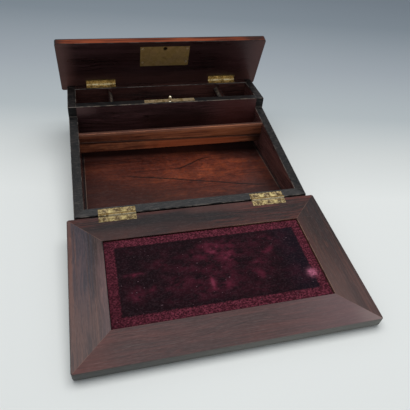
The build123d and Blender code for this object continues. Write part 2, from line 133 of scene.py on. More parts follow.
def add(tree, kind, inputs=(), **settings):
    """Adds a shader node, sets it, fills its inputs in order or by name, and returns its first output."""
    node = tree.nodes.new("ShaderNode" + kind)
    for name, value in settings.items():
        setattr(node, name, value)
    if isinstance(inputs, dict):
        filled = [(node.inputs[name], value) for name, value in inputs.items()]
    else:
        filled = zip([socket for socket in node.inputs if socket.enabled], inputs)
    for socket, value in filled:
        if isinstance(value, bpy.types.NodeSocket):
            tree.links.new(value, socket)
        else:
            socket.default_value = value
    return next((socket for socket in node.outputs if socket.enabled), None)


def calc(operation, *inputs):
    """Adds one step of arithmetic on shader values, at least one of them a socket."""
    tree = next(value.id_data for value in inputs if isinstance(value, bpy.types.NodeSocket))
    return add(tree, "Math", inputs, operation=operation)


def blend(mask, under, over):
    """Mixes one colour over another where a mask is 1."""
    return add(mask.id_data, "Mix", [mask, under, over], data_type="RGBA")


def colour_ramp(value, stops):
    """The colour for a value, between stops that are each a position and a hex colour, in order."""
    ramp = add(value.id_data, "ValToRGB", [value])
    elements = ramp.node.color_ramp.elements
    for index, (position, hex_colour) in enumerate((stops[0], stops[-1])):
        elements[index].position = position
        elements[index].color = linear(hex_colour)
    for position, hex_colour in stops[1:-1]:
        elements.new(position).color = linear(hex_colour)
    return ramp


def clamp(value):
    """A value kept between 0 and 1."""
    return min(max(value, 0.0), 1.0)


def sizes():
    return bpy.context.scene.writing_slope_sizes


def colours():
    return bpy.context.scene.writing_slope_colours


def new_material(name):
    """A material with no nodes yet."""
    material = bpy.data.materials.new(name)
    material.use_nodes = True
    material.node_tree.nodes.clear()
    return material, material.node_tree


# ---- where a point lies on its board -----------------------------------------------------------
def board_frame(body):
    """Turn and origin that lay a body's boards flat: X along the hinge, Y towards the hinge, Z up."""
    if body == "slope_lid":
        return -sizes().lid_droop, Vector(joints["slope_lid_hinge"]["pos_m"])
    if body == "rear_lid":
        return sizes().rear_lean, Vector(joints["rear_lid_hinge"]["pos_m"])
    return 0.0, Vector((0, 0, 0))


class Place:
    """Where a point lies on its board in millimetres, and which way the surface faces there."""

    def __init__(self, tree, body):
        turn, origin = board_frame(body)
        rotation = Euler((turn, 0, 0))
        shift = rotation.to_matrix() @ origin / -MM
        source = add(tree, "TexCoord").node.outputs
        laid_flat = [source["Object"], shift, rotation, (1 / MM,) * 3]
        self.point = add(tree, "Mapping", laid_flat, vector_type="POINT")
        normal = {"Vector": source["Normal"], "Rotation": rotation}
        self.facing = add(tree, "Mapping", normal, vector_type="VECTOR")
        self.x, self.y, self.z = add(tree, "SeparateXYZ", [self.point]).node.outputs
        self.nx, self.ny, self.nz = add(tree, "SeparateXYZ", [self.facing]).node.outputs


def overlap(*masks):
    """1 only where every mask is 1."""
    total = masks[0]
    for mask in masks[1:]:
        total = calc("MULTIPLY", total, mask)
    return total


def within(value, low=None, high=None, soft=1.0):
    """1 where a value lies between two limits, either of which may be left open, and 0 elsewhere."""
    masks = []
    for limit, ends in ((low, (0.0, 1.0)), (high, (1.0, 0.0))):
        if limit is not None:
            steps = [value, limit - soft, limit + soft, *ends]
            masks.append(add(value.id_data, "MapRange", steps, interpolation_type="SMOOTHSTEP"))
    return overlap(*masks)


def paint(mask, under, over):
    """Lays one finish, which is a colour and a roughness, over another where a mask is 1."""
    colour = blend(mask, under[0], over[0])
    return colour, add(mask.id_data, "Mix", [mask, under[1], over[1]])


def stain(finish, colour, rough, *masks):
    """Lays a colour, given as hex or as a property, over a finish; a number among the masks thins it."""
    over = linear(colour) if isinstance(colour, str) else colour
    return paint(overlap(*masks), finish, (over, rough))


def streaks(point, along, length, width, detail=3.0, seed=0.0):
    """Cloudy noise drawn out along the grain, with the length and width of its streaks in millimetres."""
    scale = (1 / length, 1 / width, 1 / width) if along == "X" else (1 / width, 1 / length, 1 / width)
    shift = (seed, 0.7 * seed, 1.3 * seed)
    drawn = add(point.id_data, "VectorMath", [point, scale, shift], operation="MULTIPLY_ADD")
    cloud = {"Vector": drawn, "Scale": 1.0, "Detail": detail, "Roughness": 0.58}
    return add(point.id_data, "TexNoise", cloud)


def patches(point, size, share, seed=0.0):
    """Soft patches of a given size in millimetres that cover about a given share of the surface."""
    cloud = streaks(point, "X", size, size, 3.0, seed)
    return within(cloud, low=0.5 + 0.3 * (0.5 - share), soft=0.1)


def distance_from(at, stretch, shift):
    """How far a point lies from a place, once its axes are stretched, or left out by a 0, and shifted."""
    off = add(at.point.id_data, "VectorMath", [at.point, stretch, shift], operation="MULTIPLY_ADD")
    return add(at.point.id_data, "VectorMath", [off], operation="LENGTH").node.outputs["Value"]


def worn_and_lit_arrises(at, patch=14.0, share=0.45):
    """1 on rounded and chamfered arrises, in uneven patches, where hands have rubbed the finish and where a
    highlight is painted.
    """
    x, y, z = [calc("ABSOLUTE", part) for part in (at.nx, at.ny, at.nz)]
    widest = calc("MAXIMUM", calc("MAXIMUM", x, y), z)
    return overlap(within(widest, high=0.86, soft=0.08), patches(at.point, patch, share))


def mitres(at, half_width, low, high, width):
    """1 along the joints that run in at 45 degrees from the corners of a frame."""
    side = calc("SUBTRACT", half_width, calc("ABSOLUTE", at.x))
    end = calc("MINIMUM", calc("SUBTRACT", high, at.y), calc("SUBTRACT", at.y, low))
    return calc("COMPARE", side, end, 0.5 * width)


def line_along(at, x_span, y_span, bend, width):
    """1 along one drawn line, from a first to a last place, straight or with an S bend."""
    kind = "SMOOTHSTEP" if bend else "LINEAR"
    centre = add(at.x.id_data, "MapRange", [at.x, *x_span, *y_span], interpolation_type=kind)
    waver = calc("MULTIPLY_ADD", streaks(at.point, "X", 30.0, 30.0), 6.0, -3.0)
    off = calc("ADD", calc("SUBTRACT", at.y, centre), waver)
    off = calc("ABSOLUTE", off)
    return overlap(within(off, high=width / 2, soft=width / 2), within(at.x, *x_span, soft=12.0))


# ---- rosewood ----------------------------------------------------------------------------------
def rosewood(name, body, along, seed, shades, *, gloss=0.24, level=0.4, ring=2.2, stray=16.0, figure=24.0,
             spread=0.14, ink=0.8, caked=0.04, dress=None, painted_shade=None):
    """Rosewood, planed and polished.

    Red-brown growth lines, black ink lines that wander with them, and short open pores, some of them
    caked with pale polish. shades are the dark, middle and pale colour, ring the spacing of the growth
    lines, stray how far they wander and figure the width of the broad light and dark stretches, in
    millimetres. dress lays stain and wear over the wood, and the last argument tells where a painted
    shadow turns it to a dull near black.
    """
    material, tree = new_material(name)
    c = colours()
    at = Place(tree, body)
    wander = calc("MULTIPLY_ADD", streaks(at.point, along, 120.0, figure, 2.0, seed), stray, -0.5 * stray)
    aside = add(tree, "CombineXYZ", [0.0, wander, wander] if along == "X" else [wander, 0.0, wander])
    grain = add(tree, "VectorMath", [at.point, aside], operation="ADD")
    lines = streaks(grain, along, 260.0, ring, 4.0, seed)
    broad = streaks(grain, along, 150.0, figure, 3.0, seed + 5)
    tone = add(tree, "Mix", [0.5, lines, broad])
    colour = colour_ramp(tone, tuple(zip((0.5 - spread, 0.5, 0.5 + spread), shades)))
    rough = add(tree, "MapRange", [broad, 0.3, 0.7, gloss - 0.03, gloss + 0.06])
    contour = calc("SUBTRACT", streaks(grain, along, 600.0, 0.9 * figure, 1.0, seed + 9), 0.5)
    contour = calc("ABSOLUTE", contour)
    inked = overlap(within(contour, high=0.006, soft=0.006), patches(at.point, 55.0, 0.5, seed), ink)
    pores = within(streaks(at.point, along, 8.0, 0.6, 1.0, seed), low=0.66, soft=0.08)
    finish = stain((colour, rough), c.ink_line, gloss, inked)
    finish = stain(finish, c.ink_line, 0.6, pores, 0.38)
    if dress:
        finish = dress(at, finish)
    pale_pores = within(streaks(at.point, along, 5.0, 0.9, 2.0, seed + 3), low=0.58, soft=0.1)
    finish = stain(finish, "#A89C98", gloss + 0.1, pale_pores, caked)
    relief = calc("MULTIPLY_ADD", lines, 0.3, calc("MULTIPLY", pores, -1.0))
    bump = add(tree, "Bump", {"Height": relief, "Strength": 0.2, "Distance": 0.1 * MM})
    surface = add(tree, "BsdfPrincipled", {
        "Base Color": finish[0], "Roughness": finish[1], "IOR": 1.5, "Specular IOR Level": level,
        "Normal": bump})
    # painted shadow: where the mask is 1 the wood turns into a dull near-black shader
    if painted_shade:
        shadow_shader = add(tree, "BsdfDiffuse", [linear("#0A0606"), 1.0])
        surface = add(tree, "MixShader", [painted_shade(at), surface, shadow_shader])
    add(tree, "OutputMaterial", [surface])
    return material


# ---- what is laid over the bare wood: stain, wear, joints, painted light and shade -------------
def ebonised(at, wear=1.0):
    """Black spirit stain under a thin polish: brown where thinned, pale bare wood and painted highlight at
    arrises.
    """
    c = colours()
    thin = overlap(patches(at.point, 30.0, 0.45), 0.5)
    finish = paint(thin, (c.ebonised, 0.34), (c.ebonised_thin, 0.46))
    scuffs = overlap(within(streaks(at.point, "X", 9.0, 1.6, 4.0), low=0.6, soft=0.1), 0.3 * wear)
    finish = stain(finish, c.bare_edge_and_highlight, 0.5, scuffs)
    # pale arrises: the stain worn off, and a painted highlight where the rounded edges catch light
    return stain(finish, c.bare_edge_and_highlight, 0.42, worn_and_lit_arrises(at), wear)


def dress_wall(at, finish):
    """Ebonises a wall's outside and rim, thinly along the rear, and leaves its inside as rosewood."""
    s, c = sizes(), colours()
    inner_x, inner_y = s.inside_half_width / MM + 0.2, s.inside_half_depth / MM + 0.2
    inside = overlap(within(at.x, -inner_x, inner_x, 0.05), within(at.y, -inner_y, inner_y, 0.05),
                     within(at.nz, high=0.45, soft=0.05))
    black = ebonised(at)
    joint = mitres(at, s.case_half_width / MM, -s.case_half_depth / MM, s.case_half_depth / MM, 0.7)
    upward = within(at.nz, low=0.9, soft=0.05)
    black = stain(black, c.bare_edge_and_highlight, 0.5, joint, upward, within(at.y, low=100.0), 0.6)
    step, foot = s.step_face / MM, s.step_foot / MM
    unstained = overlap(within(at.ny, high=-0.85, soft=0.05), within(at.y, step - 1, step + 1, 0.2),
                        within(at.z, high=foot + 1.7, soft=0.4))
    black = stain(black, c.bare_edge_and_highlight, 0.6, unstained, 0.6)
    rear_rim = overlap(upward, within(at.y, low=inner_y - 2, soft=0.5),
                       within(at.x, -inner_x, inner_x, 3.0), 0.75)
    black = paint(rear_rim, black, finish)
    return paint(inside, black, finish)


def dress_top(at, finish):
    """Ebonises the top edge of a board that stands in the case, and rubs its arrises pale, with a painted
    highlight.
    """
    up = within(at.nz, low=0.5, soft=0.1)
    worn = worn_and_lit_arrises(at, 9.0, 0.5)
    # pale arrises: rubbed wear and a painted highlight
    return stain(paint(up, finish, ebonised(at, 0.4)), "#8C7A68", 0.45, worn, 0.45)


def dress_divider(at, finish):
    """A dark patch low on its front, a duller top left corner, and lighter, redder colour to the right."""
    front = within(at.ny, high=-0.9, soft=0.05)
    distance = distance_from(at, (1.0, 0.0, 3.2), (-12.0, 0.0, -154.0))
    dark_patch = within(distance, high=52.0, soft=20.0)
    finish = stain(finish, "#0E0808", 0.3, front, dark_patch, 0.6)
    red = overlap(front, within(at.x, low=75.0, soft=30.0))
    finish = stain(finish, "#6E3A34", 0.3, red, 0.35)
    corner = overlap(front, within(at.x, high=-114.0, soft=14.0), within(at.z, low=63.0, soft=6.0))
    finish = stain(finish, "#705654", 0.4, corner, 0.5)
    return dress_top(at, finish)


def painted_shade_under_rack(at):
    """1 on the floor behind and below the letter board, where a painted shadow darkens it."""
    skewed = calc("MULTIPLY_ADD", at.x, 0.045, at.y)
    return overlap(within(skewed, low=26.0, soft=7.0), within(at.nz, low=0.5, soft=0.1), 0.9)


def dress_floor(at, finish):
    """Painted light mid-floor, painted shade towards the walls, two long black veins, wall joints, black
    underside.
    """
    s, c = sizes(), colours()
    # painted light: a warm pool in the middle of the floor, fading out with distance
    distance = distance_from(at, (1.0, 2.2, 0.0), (-42.0, 28.0, 0.0))
    glow = overlap(patches(at.point, 12.0, 0.45, 11.0), within(distance, high=84.0, soft=56.0))
    finish = stain(finish, "#B4542C", 0.26, glow, 0.17)
    clouds = patches(at.point, 20.0, 0.45, 21.0)
    finish = stain(finish, "#3A1610", 0.3, clouds, 0.35)
    mottle = within(streaks(at.point, "X", 5.0, 3.0, 4.0, 8.0), low=0.56, soft=0.1)
    finish = stain(finish, "#2A120E", 0.32, mottle, 0.4)
    # painted shade further from the middle, towards the walls
    shade = within(distance, low=125.0, soft=60.0)
    finish = stain(finish, "#2E1612", 0.34, shade, 0.7)
    # painted shade at the front left below the left wall, and at the rear right and right end by the board and
    # right wall
    front_left = overlap(within(at.x, high=-8.0, soft=50.0), within(at.y, high=-34.0, soft=30.0))
    finish = stain(finish, "#2A120F", 0.36, front_left, 0.48)
    rear_right = overlap(within(at.x, low=64.0, soft=16.0), within(at.y, low=2.0, soft=8.0))
    finish = stain(finish, "#1E0F0D", 0.34, rear_right, 0.6)
    right_end = within(at.x, low=106.0, soft=22.0)
    finish = stain(finish, "#1E0F0E", 0.34, right_end, 0.55)
    vein_width = 2.4
    for x_span, y_span, bend in (((-76, 116), (-21, -70), False), ((-6, 52), (-12, 11), True)):
        vein = line_along(at, x_span, y_span, bend, vein_width)
        finish = stain(finish, c.ink_line, 0.34, vein, 0.95)
    half = s.inside_half_width / MM
    from_middle = calc("ABSOLUTE", at.x)
    # pale lines along the joints with the side walls: dust in the joint, and a painted highlight on the floor's
    # edge
    pale = overlap(within(from_middle, half - 3.1, half - 2.6, 0.2), patches(at.point, 34.0, 0.7))
    finish = stain(finish, "#A08878", 0.5, pale, 0.6)
    finish = stain(finish, c.ebonised, 0.5, within(from_middle, half - 2.5, soft=0.3), 0.8)
    under = within(at.nz, high=-0.5, soft=0.1)
    return paint(under, finish, ebonised(at, 0.2))


def dress_letter_board(at, finish):
    """A painted shadow along the open joint between the two strips, painted shade at the right end, and a top
    arris rubbed pale.
    """
    s, c = sizes(), colours()
    fall = s.rack_skew / (2 * s.inside_half_width)
    height = calc("MULTIPLY_ADD", at.x, fall, at.z)
    joint = s.rack_joint / MM
    lower = overlap(within(height, high=joint, soft=0.4), within(at.x, -38.0, 100.0, 24.0))
    finish = stain(finish, "#D0683C", 0.34, lower, 0.6)
    blotch = overlap(patches(at.point, 11.0, 0.45, 31.0), within(at.x, high=-20.0, soft=60.0))
    finish = stain(finish, "#5C3024", 0.4, blotch, 0.4)
    left = overlap(within(at.x, high=-90.0, soft=50.0), within(height, low=joint, soft=0.4))
    finish = stain(finish, "#4A2A1C", 0.34, left, 0.2)
    right = overlap(within(at.x, 50.0, 112.0, 24.0), within(height, low=joint, soft=0.4))
    finish = stain(finish, "#D08050", 0.3, right, 0.3)
    # painted shadow: a dark band along the joint, where the upper strip shades the lower one
    joint_shadow_height = calc("MULTIPLY_ADD", at.x, 0.7 * fall, at.z)
    dirt_and_shadow = within(joint_shadow_height, joint - 2.2, joint + 1.0, 1.5)
    finish = stain(finish, c.ink_line, 0.6, dirt_and_shadow, 0.85)
    # painted shade at the right end beside the right wall, darkest below the joint
    end = within(at.x, low=123.0, soft=10.0)
    finish = stain(finish, "#1A0E0C", 0.5, end, within(height, high=joint + 2, soft=5.0), 0.85)
    finish = stain(finish, "#2A1812", 0.5, end, 0.3)
    top = overlap(within(at.nz, low=0.9, soft=0.06), within(at.z, low=joint + 9.0))
    finish = stain(finish, "#2E160F", 0.85, top, 0.85)
    arris = overlap(within(at.z, low=joint + 13.7, soft=0.4), within(at.nz, high=0.6, soft=0.2))
    return stain(finish, "#D09A80", 0.4, arris, 0.3)


def handled_edge(at, finish):
    """Greys the slope lid's far edge, where hands have worn and dulled the black."""
    facing = overlap(within(at.ny, high=-0.6, soft=0.15), 0.9)
    right = within(at.x, -60.0, soft=120.0)
    worn = blend(right, linear("#4E4F4D"), linear("#6E6D68"))
    return paint(facing, finish, (worn, 0.6))


def dress_frame(at, finish, tint):
    """Tints a board of the frame, shows its mitres and the rubbed arris, and ebonises its outer edges."""
    s = sizes()
    finish = tint(at, finish)
    low, high, half = -s.lid_far / MM, -s.hinge_reach / MM, s.lid_half_width / MM
    joint = overlap(mitres(at, half, low, high, 0.8), patches(at.point, 16.0, 0.7))
    finish = stain(finish, "#8A6656", 0.5, joint, 0.34)
    width = s.frame_width / MM
    right = within(at.x, half - width, half - width + 0.7, 0.25)
    top = overlap(within(at.y, high - width, high - width + 0.6, 0.25), within(at.x, 20.0, 120.0, 30.0))
    rubbed = calc("MAXIMUM", overlap(right, within(at.y, low + width, high - width, 2.0)), top)
    finish = stain(finish, "#94705C", 0.45, rubbed, patches(at.point, 24.0, 0.6), 0.6)
    edge = within(at.nz, high=0.75, soft=0.12)
    from_middle = calc("ABSOLUTE", at.x)
    far = calc("MAXIMUM", within(from_middle, low=half - 6), within(at.y, high=low + 6))
    return paint(overlap(edge, far), finish, handled_edge(at, ebonised(at, 0.35)))


def tint_left_stile(at, finish):
    """Red sapwood at the outer edge, black-blue heart beside it, and grey-brown towards the opening."""
    streak = streaks(at.point, "Y", 120.0, 2.2, 5.0)
    across = calc("MULTIPLY_ADD", streak, 30.0, at.x)
    heart = overlap(within(across, -138.0, -120.0, 5.0), within(at.y, low=-140.0, soft=50.0))
    finish = stain(finish, "#37343F", 0.42, heart, 0.6)
    outer = overlap(within(across, high=-140.0, soft=4.0), within(at.y, low=-125.0, soft=50.0))
    finish = stain(finish, "#624038", 0.45, outer, 0.5)
    inner = overlap(within(at.x, low=-128.0, soft=6.0), within(at.y, high=-60.0, soft=20.0))
    finish = stain(finish, "#7E5E60", 0.45, inner, 0.38)
    lower = within(at.y, high=-120.0, soft=60.0)
    return stain(finish, "#4C4444", 0.45, lower, 0.4)


def tint_hinge_rail(at, finish):
    """Black heartwood across the left and middle, in streaks that climb a little to the right."""
    climb = calc("MULTIPLY_ADD", at.x, -0.14, at.y)
    streak = streaks(at.point, "X", 160.0, 6.0, 4.0, 3.0)
    across = calc("MULTIPLY_ADD", streak, 26.0, climb)
    heart = overlap(within(across, -22.0, 14.0, 5.0), within(at.x, -150.0, 45.0, 30.0))
    finish = stain(finish, "#130D0F", 0.45, heart, 0.84)
    left = overlap(within(at.x, high=-60.0, soft=34.0), within(at.y, high=-24.0, soft=6.0))
    finish = stain(finish, "#6E423A", 0.45, left, 0.2)
    hinge_side = overlap(within(at.x, -15.0, 66.0, 14.0), within(at.y, low=-12.0, soft=4.0))
    finish = stain(finish, "#6A4038", 0.45, hinge_side, 0.3)
    red = overlap(patches(at.point, 26.0, 0.4, 2.0), within(at.y, high=-30.0, soft=6.0))
    return stain(finish, "#4C241C", 0.45, red, 0.4)


def tint_right_stile(at, finish):
    """Olive-brown beside the opening, dark streaks down the middle, red-brown outside."""
    c = colours()
    streak = streaks(at.point, "Y", 170.0, 3.0, 4.0, 7.0)
    across = calc("MULTIPLY_ADD", streak, 30.0, at.x)
    finish = stain(finish, "#4A3028", 0.45, within(across, high=143.0, soft=5.0), 0.4)
    finish = stain(finish, "#2A1A18", 0.45, within(at.y, low=-60.0, soft=30.0), 0.4)
    lower = within(at.y, high=-115.0, soft=50.0)
    finish = stain(finish, "#70524C", 0.46, lower, 0.45)
    finish = stain(finish, c.slate, 0.42, within(across, 155.0, 166.0, 5.0), 0.45)
    rubbed = overlap(within(at.x, high=125.0, soft=2.5), within(at.y, low=-110.0, soft=50.0))
    finish = stain(finish, "#44201C", 0.45, rubbed, 0.6)
    return stain(finish, "#2A1E1C", 0.46, within(at.x, low=154.5, soft=1.5), 0.45)


def tint_front_rail(at, finish):
    """A painted highlight towards the right, redder at the left mitre, with fine scratches along it."""
    # painted highlight: paler towards the right end of the rail
    pale = within(at.x, low=92.0, soft=75.0)
    finish = stain(finish, "#7E6668", 0.46, pale, 0.55)
    red = within(at.x, high=-122.0, soft=16.0)
    finish = stain(finish, "#5E2C24", 0.42, red, 0.4)
    scratch = within(streaks(at.point, "X", 40.0, 0.7, 2.0, 4.0), low=0.66, soft=0.05)
    finish = stain(finish, "#8A7470", 0.5, scratch, 0.25)
    corner = overlap(within(at.x, low=138.0, soft=16.0), within(at.y, high=-172.0, soft=12.0))
    return stain(finish, "#94847E", 0.5, corner, 0.4)


def dress_rear_lid(at, finish):
    """Ebonises the rear lid's outside and ends, leaves its free edge bare with dark ends, and paints reflections
    inside.
    """
    inner = within(at.nz, high=-0.75, soft=0.08)
    # painted reflections on the inside face: lighter at both ends, towards the right and near the hinge
    ends = calc("MAXIMUM", within(at.x, high=-142.0, soft=14.0), within(at.x, low=140.0, soft=18.0))
    finish = stain(finish, "#744E48", 0.3, ends, 0.48)
    right = overlap(within(at.x, low=112.0, soft=50.0), within(at.y, high=-22.0, soft=14.0))
    finish = stain(finish, "#5E3A3A", 0.28, right, 0.4)
    near_hinge = within(at.y, low=-14.0, soft=16.0)
    finish = stain(finish, "#6A443C", 0.34, near_hinge, 0.4)
    grain = streaks(at.point, "X", 60.0, 2.5, 4.0)
    bare_colour = blend(within(grain, low=0.5, soft=0.16), linear("#4A1E12"), linear("#8E4426"))
    dark_end = calc("MULTIPLY_ADD", patches(at.point, 24.0, 0.5), 30.0, at.x)
    free_edge = overlap(within(at.ny, high=-0.9, soft=0.06), within(at.z, high=9.0, soft=0.5))
    darkened = within(dark_end, low=150.0, soft=40.0)
    darkened = calc("MAXIMUM", darkened, within(at.x, high=-150.0, soft=10.0))
    edge_finish = paint(darkened, (bare_colour, 0.95), (linear("#2E1C18"), 0.95))
    outside = paint(free_edge, ebonised(at, 0.4), edge_finish)
    return paint(inner, outside, finish)


def dress_lid_panel(at, finish):
    """Ebonises the whole outer board of the slope lid, greyed by handling along its edge."""
    return handled_edge(at, ebonised(at, 0.6))


# ---- brass, iron and velvet ----------------------------------------------------------------------
def worn_brass(name, body, clean, dull, *, rough, dirt_and_shadow=0.5, patch=3.0, grime="#3A2E1A", pitted=0.6,
               dress=None):
    """Rolled brass, handled for a century.

    Its clean places keep a light colour, tarnish clouds it in patches, and grime fills its pits. The
    lock's iron is aged in the same way, between its own two colours.
    """
    material, tree = new_material(name)
    at = Place(tree, body)
    tarnish = patches(at.point, patch, dirt_and_shadow)
    fine = streaks(at.point, "X", 1.6, 1.0, 2.0)
    finish = paint(tarnish, (linear(clean), rough), (linear(dull), rough + 0.15))
    pits = within(streaks(at.point, "X", 2.4, 1.7, 3.0, 4.0), low=0.6, soft=0.06)
    finish = stain(finish, grime, rough + 0.2, pits, pitted)
    if dress:
        finish = dress(at, finish)
    bump = add(tree, "Bump", {"Height": fine, "Strength": 0.35, "Distance": 0.12 * MM})
    surface = add(tree, "BsdfPrincipled", {
        "Base Color": finish[0], "Metallic": 1.0, "Roughness": finish[1], "Normal": bump})
    add(tree, "OutputMaterial", [surface])
    return material


def dull_left_hinge(at, finish):
    """Leaves the left hinge of a pair duller than the right one."""
    return stain(finish, "#5E5034", 0.6, within(at.x, high=0.0, soft=20.0), 0.3)


def rub_and_highlight_front_hinges(at, finish, axis):
    """Rubs the leaves bright between their screws, paints highlights along both sides of the barrel, and browns
    its middle.
    """
    hinge_middle, screw_pitch = 99.3, 15.0
    phase = calc("MULTIPLY", calc("ADD", at.x, hinge_middle), 2 * pi / screw_pitch)
    between = within(calc("COSINE", phase), high=-0.3, soft=0.5)
    off = calc("ABSOLUTE", calc("SUBTRACT", at.y, axis))
    leaf = within(off, low=3.2, high=9.4, soft=0.7)
    inner = within(calc("ABSOLUTE", at.x), low=83.0, high=111.0, soft=2.0)
    uneven = patches(at.point, 4.0, 0.6, 3.0)
    finish = stain(finish, "#E4D294", 0.38, between, leaf, inner, uneven, 0.5)
    finish = stain(finish, "#7A5C28", 0.5, within(off, high=1.0, soft=0.4), 0.6)
    # painted highlights: pale lines along both sides of the barrel
    sides = overlap(within(off, low=1.4, high=2.7, soft=0.4), patches(at.point, 9.0, 0.75))
    finish = stain(finish, "#FFF0CC", 0.36, sides, 0.75)
    return dull_left_hinge(at, finish)


def polish_and_highlight_barrel(at, finish):
    """Polishes a hinge's barrel, with a painted highlight along it, and leaves grime along the far edge of its
    leaf.
    """
    # painted highlight along the barrel, on brass polished smoother
    barrel = within(at.y, low=-3.0, soft=0.6)
    finish = stain(finish, "#FFF0C8", 0.26, barrel, 0.6)
    return stain(finish, "#1E160E", 0.7, within(at.y, high=-8.6, soft=0.7), 0.8)


def crushed_velvet(name):
    """Silk velvet: near black where its pile stands, crimson where the pile is pressed or crushed."""
    material, tree = new_material(name)
    at = Place(tree, "slope_lid")
    c = colours()
    pressed, relief, crushed, fluff = [
        add(tree, "Attribute", attribute_name=layer).node.outputs["Fac"]
        for layer in PILE_LAYERS
    ]
    tufts = streaks(at.point, "X", 1.3, 1.1, 2.0)
    brushed = streaks(at.point, "X", 11.0, 7.5, 4.0, 2.0)
    lying = overlap(within(brushed, low=0.48, soft=0.17), crushed, 0.94)
    marks = overlap(within(streaks(at.point, "X", 3.4, 2.2, 3.0, 9.0), low=0.58, soft=0.1), 0.18)
    lying = calc("MULTIPLY_ADD", marks, crushed, lying)
    lying = calc("MULTIPLY_ADD", within(tufts, low=0.62, soft=0.14), 0.08, lying)
    unworn = overlap(within(at.x, low=82.0, soft=16.0), 0.8)
    standing = blend(unworn, c.velvet, linear("#100B15"))
    field = blend(lying, standing, c.velvet_crushed)
    palest = overlap(within(lying, low=0.72, soft=0.24), 0.26)
    field = blend(palest, field, linear("#8E4458"))
    # pale flecks on the pile tips: lint, and painted glints where the tips catch light
    tips = within(streaks(at.point, "X", 2.2, 1.5, 3.0, 8.0), low=0.56, soft=0.1)
    field = blend(overlap(tips, 0.036), field, c.lint_and_glints)
    pips = within(streaks(at.point, "X", 1.8, 1.4, 3.0, 12.0), low=0.54, soft=0.12)
    high = calc("MULTIPLY_ADD", pips, 0.8, overlap(relief, 0.22))
    stamped = blend(high, c.velvet_border_low, c.velvet_border)
    # painted shade on the border: darker at its lower left and along its left side
    shaded = overlap(within(at.y, high=-110.0, soft=30.0), within(at.x, high=-90.0, soft=40.0), 0.3)
    stamped = blend(shaded, stamped, c.velvet_border_low)
    left = overlap(within(at.x, high=-106.0, soft=6.0), 0.25)
    stamped = blend(left, stamped, c.velvet_border_low)
    colour = blend(pressed, field, stamped)
    specks = within(streaks(at.point, "X", 2.6, 2.2, 1.0, 6.0), low=0.775, soft=0.03)
    colour = blend(overlap(specks, 0.5), colour, c.lint_and_glints)
    tuft = overlap(fluff, within(streaks(at.point, "X", 3.0, 2.5, 4.0, 5.0), low=0.42, soft=0.16))
    colour = blend(tuft, colour, c.fluff)
    bump = add(tree, "Bump", {"Height": tufts, "Strength": 0.5, "Distance": 0.4 * MM})
    surface = add(tree, "BsdfPrincipled", {
        "Base Color": colour, "Roughness": 0.9, "Specular IOR Level": 0.1, "Sheen Weight": 0.16,
        "Sheen Roughness": 0.45, "Sheen Tint": linear("#A04858"), "Normal": bump})
    add(tree, "OutputMaterial", [surface])
    return material


def put(material, *names):
    """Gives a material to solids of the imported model."""
    for name in names:
        for slot in frame["nodes"][name].material_slots:
            slot.material = material


